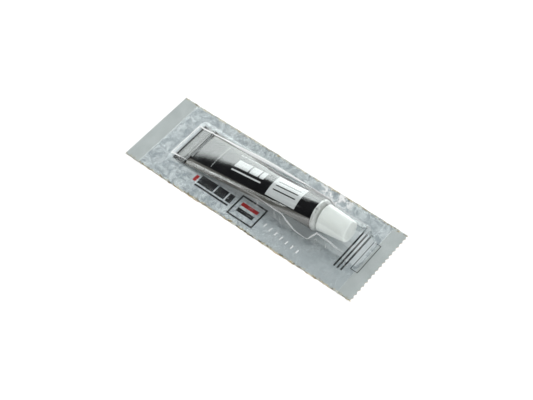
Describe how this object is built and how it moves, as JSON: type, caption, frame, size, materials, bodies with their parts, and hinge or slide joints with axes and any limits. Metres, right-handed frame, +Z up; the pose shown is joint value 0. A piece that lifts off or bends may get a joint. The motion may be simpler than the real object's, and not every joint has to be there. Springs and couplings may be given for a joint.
{
  "type": "super glue tube in a sealed pack",
  "caption": "Collapsible metal glue tube with a white tapered screw cap, sealed flat between a silver backing and a clear formed film that peels open from the cap end.",
  "frame": {"origin": "middle of the pack's underside, on the surface it lies on", "axes": "+X along the tube from its folded tail to its cap, +Z up out of the backing, +Y across the pack"},
  "size_m": [0.117, 0.04, 0.0146],
  "materials": {
    "paper": "matt kraft paper",
    "foil": "satin metallised foil",
    "clear_film": "clear glossy film",
    "black_lacquer": "gloss black lacquer on aluminium, shoulder and folded tail bare",
    "sealing_compound": "matt latex",
    "adhesive": "clear liquid",
    "soft_disc": "soft foam",
    "white_cap": "translucent white moulding"
  },
  "bodies": {
    "pack_and_tube": {"backing_paper": "paper", "backing_foil": "foil", "film_tail_strip": "clear_film", "tube_body": "black_lacquer", "end_seal_band": "sealing_compound", "glue_fill": "adhesive"},
    "liner": {"cap_liner": "soft_disc"},
    "screw_cap": {"cap": "white_cap"},
    "film_lid": {"clear_film": "clear_film"}
  },
  "joints": [
    {"name": "film_peel", "type": "hinge", "parent": "pack_and_tube", "child": "film_lid", "pos_m": [-0.05154, 0, 0.0005], "axis": [0, -1, 0], "range_deg": [0, 120]},
    {"name": "cap_travel", "type": "slide", "parent": "pack_and_tube", "child": "liner", "axis": [0.9957, 0, 0.0924], "range_m": [0, 0.00375]},
    {"name": "cap_turn", "type": "hinge", "parent": "liner", "child": "screw_cap", "pos_m": [0.02976, 0.0018, 0.00729], "axis": [0.9957, 0, 0.0924], "range_deg": [0, 1080.1]}
  ],
  "couplings": [
    {"joint": "cap_turn", "follows": "cap_travel", "rad_per_m": 5026.5}
  ]
}
